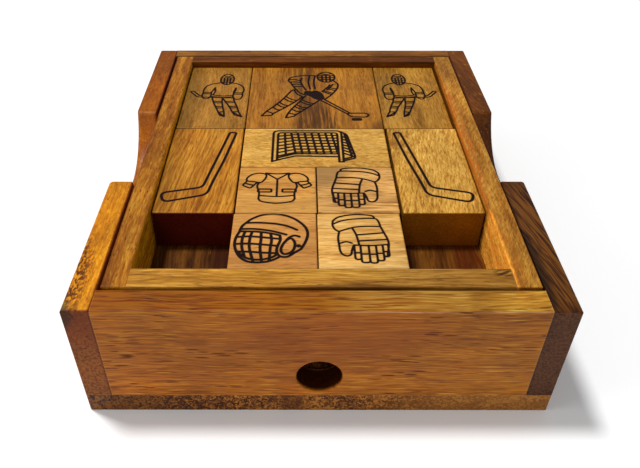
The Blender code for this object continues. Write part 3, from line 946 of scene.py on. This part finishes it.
def makeEngraveTree():
    tree = bpy.data.node_groups.new("engrave", "GeometryNodeTree")
    for label, kind in (("Block", "NodeSocketGeometry"), ("Strokes", "NodeSocketObject"),
                        ("Top", "NodeSocketFloat"), ("Line Width", "NodeSocketFloat"),
                        ("Groove Depth", "NodeSocketFloat"), ("Scorch", "NodeSocketFloat"),
                        ("Wood", "NodeSocketMaterial")):
        tree.interface.new_socket(label, in_out="INPUT", socket_type=kind)
    tree.interface.new_socket("Block", in_out="OUTPUT", socket_type="NodeSocketGeometry")
    given = tree.nodes.new("NodeGroupInput").outputs
    drawn = addNode(tree, "GeometryNodeObjectInfo", {"Object": given["Strokes"]})
    nearest = addNode(tree, "GeometryNodeProximity", {0: drawn.outputs["Geometry"]}, target_element="EDGES")
    distance = nearest.outputs["Distance"]
    place = addNode(tree, "GeometryNodeInputPosition")
    height = addNode(tree, "ShaderNodeSeparateXYZ", {0: place.outputs[0]}).outputs["Z"]
    onTop = calc(tree, "GREATER_THAN", height, calc(tree, "SUBTRACT", given["Top"], topMargin * mm))
    half = calc(tree, "MULTIPLY", given["Line Width"], 0.5)
    floorHalf = calc(tree, "MULTIPLY", half, grooveFloor)
    sunk = fade(tree, distance, floorHalf, half, 1.0, 0.0)
    drop = calc(tree, "MULTIPLY", calc(tree, "MULTIPLY", sunk, onTop), given["Groove Depth"])
    travel = addNode(tree, "ShaderNodeCombineXYZ", {"Z": calc(tree, "MULTIPLY", drop, -1.0)})
    scorched = fade(tree, distance, half, calc(tree, "ADD", half, given["Scorch"]), 1.0, 0.0)
    burn = calc(tree, "MULTIPLY", scorched, onTop)
    named = addNode(tree, "GeometryNodeStoreNamedAttribute", {"Geometry": given["Block"], "Name": "burn",
                    "Value": burn}, data_type="FLOAT", domain="POINT")
    lowered = addNode(tree, "GeometryNodeSetPosition",
                      {"Geometry": named.outputs[0], "Offset": travel.outputs[0]})
    real = addNode(tree, "GeometryNodeRealizeInstances", {0: lowered.outputs[0]})
    finished = addNode(tree, "GeometryNodeSetMaterial",
                       {"Geometry": real.outputs[0], "Material": given["Wood"]})
    addNode(tree, "NodeGroupOutput", {0: finished.outputs[0]})
    return tree


capSteps = 6               # points round the half circle at a stroke's end
sharpestCorner = 0.6       # keeps the outline of a sharp bend from running out too far
snapReach = 0.003          # mm, points of the drawing nearer than this become one
weldReach = 0.0005         # mm, the same for the finished block


def capsule(line, reach):
    # the outline of a round-ended stroke
    left, right = [], []
    last = len(line) - 1
    for index, spot in enumerate(line):
        leaving = (line[min(index + 1, last)] - spot).normalized()
        coming = (spot - line[max(index - 1, 0)]).normalized()
        leaving = leaving if index < last else coming
        coming = coming if index else leaving
        side = (leaving + coming).orthogonal().normalized()
        stretch = reach / max(side.dot(leaving.orthogonal()), sharpestCorner)
        left.append(spot + side * stretch)
        right.append(spot - side * stretch)
    caps = []
    for end, outwards in ((line[-1], line[-1] - line[-2]), (line[0], line[0] - line[1])):
        ahead = outwards.normalized()
        angles = [math.pi * step / capSteps for step in range(1, capSteps)]
        caps.append([end + (ahead.orthogonal() * math.cos(angle) + ahead * math.sin(angle)) * reach
                     for angle in angles])
    return left + caps[0] + right[::-1] + caps[1]


def engravedTop(shape, half, top, strokes, reaches):
    # the top face, divided so that every stroke has clean edges
    across, back = half
    spots = straight((-across, -back), (across, -back), (across, back), (-across, back))
    edges = [(0, 1), (1, 2), (2, 3), (3, 0)]
    for stroke in strokes:
        for reach in reaches:
            outline = capsule(stroke, reach)
            first = len(spots)
            spots += outline
            edges += [(first + index, first + (index + 1) % len(outline)) for index in range(len(outline))]
    divided = geometry.delaunay_2d_cdt(spots, edges, [], 0, snapReach, False)
    known = [shape.verts.new((spot.x * mm, spot.y * mm, top * mm)) for spot in divided[0]]
    for triangle in divided[2]:
        shape.faces.new([known[index] for index in triangle])


def blockNormals(mesh, low, high, easing):
    # flat faces shade flat, rounded arrises shade round, groove walls keep their own facets
    margin = Vector((easing, easing, easing)) * mm
    innerLow = low * mm + margin
    innerHigh = high * mm - margin
    normals = []
    for polygon in mesh.polygons:
        grooved = polygon.center.z > innerHigh.z
        inside = innerLow.x < polygon.center.x < innerHigh.x and innerLow.y < polygon.center.y < innerHigh.y
        for corner in polygon.vertices:
            spot = mesh.vertices[corner].co
            if grooved and inside:
                normals.append(polygon.normal)
                continue
            nearest = Vector([min(max(spot[axis], innerLow[axis]), innerHigh[axis]) for axis in range(3)])
            normals.append((spot - nearest).normalized())
    mesh.normals_split_custom_set(normals)


# painted shade darkens the upright sides of every block, and the arrises are painted paler, partly rubbed,
# partly a painted highlight
blockWood = {"engraved": True, "sides": (0.5, 0.4, 0.3), "wearAndHighlight": 0.45}
engraveTree = makeEngraveTree()
engraveInputs = {item.name: item.identifier for item in engraveTree.interface.items_tree
                 if item.in_out == "INPUT"}


def makeBlock(name, settings):
    grow = {side: settings["swell"] for side in ("-x", "+x", "-y", "+y")}
    low, high = grownBox(settings["node"], {**grow, "-z": closeUp})
    middle = (low + high) / 2
    easing = settings["easing"]
    # a rounded block without its top face, closed again by the divided top
    shape = bmesh.new()
    bmesh.ops.create_cube(shape, size=1)
    for vert in shape.verts:
        vert.co = Vector([(high[axis] - low[axis]) * vert.co[axis] * mm for axis in range(3)])
    bmesh.ops.translate(shape, vec=(0, 0, middle.z * mm), verts=shape.verts)
    bmesh.ops.bevel(shape, geom=shape.edges[:], offset=easing * mm, segments=arrisSteps, profile=0.5,
                    affect="EDGES")
    topFace = max(shape.faces, key=lambda face: (face.calc_center_median().z, face.calc_area()))
    bmesh.ops.delete(shape, geom=[topFace], context="FACES_ONLY")
    strokes = settings["strokes"]
    half = Vector(((high.x - low.x) / 2 - easing, (high.y - low.y) / 2 - easing))
    width = settings["lineWidth"]
    reaches = (width * grooveFloor / 2, width / 2, width / 2 + settings["scorch"])
    engravedTop(shape, half, high.z, strokes, reaches)
    bmesh.ops.remove_doubles(shape, verts=shape.verts, dist=weldReach * mm)
    bmesh.ops.translate(shape, vec=(middle.x * mm, middle.y * mm, 0), verts=shape.verts)
    bmesh.ops.recalc_face_normals(shape, faces=shape.faces)
    material = makeWood(name + "Wood", {**blockWood, **settings["wood"]})
    plain = linkPiece(name + "Plain", shape, material)

    # the strokes as loose edges, for the tree to measure from
    spots, runs = [], []
    for stroke in strokes:
        runs += [(len(spots) + index, len(spots) + index + 1) for index in range(len(stroke) - 1)]
        spots += [((middle.x + spot.x) * mm, (middle.y + spot.y) * mm, high.z * mm) for spot in stroke]
    lines = bpy.data.meshes.new(name + "Strokes")
    lines.from_pydata(spots, runs, [])
    pencil = bpy.data.objects.new(name + "Strokes", lines)
    scene.collection.objects.link(pencil)

    engrave = plain.modifiers.new("engrave", "NODES")
    engrave.node_group = engraveTree
    for label, value in (("Strokes", pencil), ("Top", high.z * mm), ("Line Width", width * mm),
                         ("Groove Depth", settings["depth"] * mm), ("Scorch", settings["scorch"] * mm),
                         ("Wood", material)):
        engrave[engraveInputs[label]] = value
    evaluated = bpy.context.evaluated_depsgraph_get()
    mesh = bpy.data.meshes.new_from_object(plain.evaluated_get(evaluated), preserve_all_data_layers=True,
                                           depsgraph=evaluated)
    mesh.name = name
    bpy.data.objects.remove(plain)
    bpy.data.objects.remove(pencil)
    blockNormals(mesh, low, high, easing)
    block = bpy.data.objects.new(name, mesh)
    scene.collection.objects.link(block)
    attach(block, settings["node"])
    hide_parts(settings["node"])
    print(name, "has", len(mesh.polygons), "faces")


blockDefaults = {              # mm
    "easing": 0.7,
    "swell": 0.1,              # how much fuller than the CAD block on each side
    "lineWidth": 0.75,
    "depth": 0.25,
    "scorch": 0.28,            # how far the burn reaches past a line
}
blockSettings = {
    "playerBlockLeft": {
        "node": "block_player_left", "strokes": playerStrokes(), "lineWidth": 0.6,
        "wood": {
            "turn": alongDepth, "offset": (8, 3, 33), "tint": (0.9, 0.84, 0.78),
            "shades": ((130, 88, 30), (172, 122, 54), (198, 148, 76)),
            "bandSize": (50, 8), "band": 0.5, "figure": ((7, 0.7, 0.5, 0, 0.4), (2.5, 0.5, 0.35, 0, 0.6)),
            # painted shadow: the left part, shaded by the tray's left rail, is darkened
            "washes": (("x", -48, -57, (0.62, 0.66, 0.5)),),
        },
    },
    "playerBlockCentre": {
        "node": "block_player_centre", "strokes": skaterStrokes(), "lineWidth": 0.72,
        "wood": {
            "turn": alongDepth, "offset": (55, 18, 3), "tint": (0.94, 0.93, 0.75),
            "shades": ((122, 70, 22), (172, 112, 44), (200, 140, 64)),
            "bandSize": (70, 9), "band": 0.5, "figure": ((10, 0.8, 0.45, 0, 0.4), (3, 0.5, 0.3, 0, 0.6)),
            "patches": (
                {"middle": (-3, 50, 43), "reach": (9, 46, 20), "grain": (40, 1.5), "colour": (84, 52, 26),
                 "strength": 0.8},
                {"middle": (2, 22, 43), "reach": (14, 24, 20), "grain": (30, 1.2), "colour": (66, 38, 18),
                 "strength": 0.85},
                {"middle": (29, 18, 43), "reach": (8, 9, 20), "colour": (92, 50, 20), "strength": 0.7},
            ),
        },
    },
    "playerBlockRight": {
        "node": "block_player_right", "strokes": mirrored(playerStrokes()), "lineWidth": 0.6,
        "wood": {
            "turn": alongDepth, "offset": (78, 46, 13), "tint": (0.82, 0.8, 0.68),
            "shades": ((136, 90, 30), (178, 126, 54), (210, 160, 84)),
            "bandSize": (60, 8), "band": 0.5, "figure": ((6, 0.7, 0.55, 0, 0.5), (2.4, 0.5, 0.35, 0, 0.6)),
            "patches": ({"middle": (44, 30, 43), "reach": (5, 16, 20), "grain": (16, 1.2),
                         "colour": (116, 76, 26), "strength": 0.7},),
        },
    },
    "stickBlockLeft": {
        "node": "block_stick_left", "strokes": stickStrokes(), "lineWidth": 0.88,
        "wood": {
            "turn": alongDepth, "offset": (25, 66, 43), "tint": (0.88, 0.84, 0.69),
            "shades": ((148, 86, 20), (194, 128, 42), (226, 166, 76)),
            "bandSize": (60, 6), "band": 0.45, "figure": ((16, 0.8, 0.7, 7, 0.3), (4, 0.5, 0.3, 4, 0.6)),
            # painted shadow: the left part, shaded by the tray's left rail, is darkened
            "washes": (("x", -50, -57, (0.70, 0.72, 0.6)),),
            # painted shade: the cut faces, among them the front face in the tray's well, are made nearly
            # black
            "endGrainAndPaintedShade": (0.34, 0.08, 0.4),
        },
    },
    "goalNetBlock": {
        "node": "block_goal_net", "strokes": netStrokes(), "lineWidth": 0.78,
        "wood": {
            "offset": (92, 31, 53), "tint": (0.95, 0.92, 1.02),
            "shades": ((178, 124, 50), (218, 168, 84), (240, 196, 116)),
            "bandSize": (50, 7), "band": 0.4, "figure": ((3.2, 0.9, 0.6, 10, 0.9), (1.6, 0.5, 0.4, 0, 0.9)),
        },
    },
    "stickBlockRight": {
        "node": "block_stick_right", "lineWidth": 0.88,
        "strokes": shifted(mirrored(stickStrokes()), -0.4, 0),
        "wood": {
            "turn": alongDepth, "offset": (17, 86, 63), "tint": (0.92, 0.92, 1.04),
            "shades": ((160, 106, 34), (208, 154, 68), (238, 192, 106)),
            "bandSize": (40, 8), "band": 0.4, "figure": ((5, 0.8, 0.75, 10, 0.8), (2, 0.5, 0.4, 0, 0.8)),
            # painted shade: the cut faces, among them the front face in the tray's well, are darkened
            # beyond plain end grain
            "endGrainAndPaintedShade": (0.80, 0.62, 0.15),
        },
    },
    "shoulderPadBlock": {
        "node": "block_shoulder_pads", "strokes": shoulderPadStrokes(), "lineWidth": 0.58,
        "wood": {
            "offset": (64, 71, 73), "tint": (0.98, 1.01, 1.24),
            "shades": ((172, 112, 48), (214, 152, 78), (232, 176, 100)),
            "bandSize": (50, 6), "band": 0.5, "figure": ((9, 0.6, 0.4, 0, 0.4), (3, 0.5, 0.25, 0, 0.4)),
        },
    },
    "gloveBlockRear": {
        "node": "block_glove_rear", "lineWidth": 0.62,
        "strokes": shifted(mirrored(gloveStrokes()), -0.5, 0.2),
        "wood": {
            "offset": (36, 96, 83), "tint": (1.14, 1.18, 1.46),
            "shades": ((132, 88, 44), (204, 150, 88), (224, 176, 112)),
            "bandSize": (60, 5), "band": 0.5, "figure": ((14, 0.7, 0.5, 3, 0.4), (4, 0.5, 0.25, 0, 0.4)),
            "patches": (
                {"middle": (1, -14, 43), "reach": (14, 14, 20), "colour": (142, 106, 66), "strength": 0.8},
                {"middle": (20, -34, 43), "reach": (20, 9, 20), "grain": (12, 0.7), "colour": (110, 66, 30),
                 "strength": 0.6},
            ),
        },
    },
    "helmetBlock": {
        "node": "block_helmet", "strokes": shifted(helmetStrokes(), 0.3, 0), "lineWidth": 0.82,
        "wood": {
            "offset": (47, 15, 93), "tint": (0.97, 0.95, 1.25),
            "shades": ((170, 108, 46), (208, 148, 78), (226, 170, 96)),
            "bandSize": (50, 8), "band": 0.4, "figure": ((8, 0.8, 0.3, 0, 0.4), (3, 0.5, 0.2, 0, 0.4)),
        },
    },
    "gloveBlockFront": {
        "node": "block_glove_front", "strokes": shifted(gloveStrokes(), 0.4, 0), "lineWidth": 0.57,
        "wood": {
            "offset": (83, 37, 17), "tint": (0.91, 0.9, 1.16),
            "shades": ((182, 126, 56), (228, 176, 98), (248, 206, 132)),
            "bandSize": (60, 5), "band": 0.6, "figure": ((12, 0.7, 0.6, 0, 0.4), (4, 0.5, 0.3, 0, 0.4)),
        },
    },
}
for blockName, blockChoice in blockSettings.items():
    makeBlock(blockName, {**blockDefaults, **blockChoice})
print("blocks engraved")


# pale floor and soft studio light
stageSettings = {
    "floorSize": 6.0,                       # m, as all of the stage
    "floorColour": (0.93, 0.93, 0.93, 1),
    "floorRoughness": 0.9,
    "worldStrength": 0.34,
    "aim": (0, 0, 0.02),
    "lights": {
        "keyLight": {"place": (-0.66, 0.30, 2.12), "size": 0.34, "power": 37.5},
        "fillLight": {"place": (-0.30, -2.2, 1.2), "size": 1.4, "power": 12.0},
        "sideLight": {"place": (-1.9, -0.35, 1.0), "size": 1.2, "power": 10.0},
    },
}


def areaLight(name, aim, place, size, power):
    data = bpy.data.lights.new(name, "AREA")
    data.shape = "DISK"
    data.size = size
    data.energy = power
    light = bpy.data.objects.new(name, data)
    light.location = place
    light.rotation_euler = (Vector(aim) - Vector(place)).to_track_quat("-Z", "Y").to_euler()
    scene.collection.objects.link(light)


def makeStage(settings):
    half = settings["floorSize"] / 2
    mesh = bpy.data.meshes.new("floor")
    corners = [(-half, -half, 0), (half, -half, 0), (half, half, 0), (-half, half, 0)]
    mesh.from_pydata(corners, [], [(0, 1, 2, 3)])
    floor = bpy.data.objects.new("floor", mesh)
    scene.collection.objects.link(floor)
    material = bpy.data.materials.new("floorPaint")
    material.use_nodes = True
    shader = material.node_tree.nodes["Principled BSDF"]
    shader.inputs["Base Color"].default_value = settings["floorColour"]
    shader.inputs["Roughness"].default_value = settings["floorRoughness"]
    mesh.materials.append(material)
    world = bpy.data.worlds.new("studio")
    world.use_nodes = True
    sky = world.node_tree.nodes["Background"]
    sky.inputs["Color"].default_value = (1, 1, 1, 1)
    sky.inputs["Strength"].default_value = settings["worldStrength"]
    scene.world = world
    for name, light in settings["lights"].items():
        areaLight(name, settings["aim"], **light)


makeStage(stageSettings)
print("stage set")
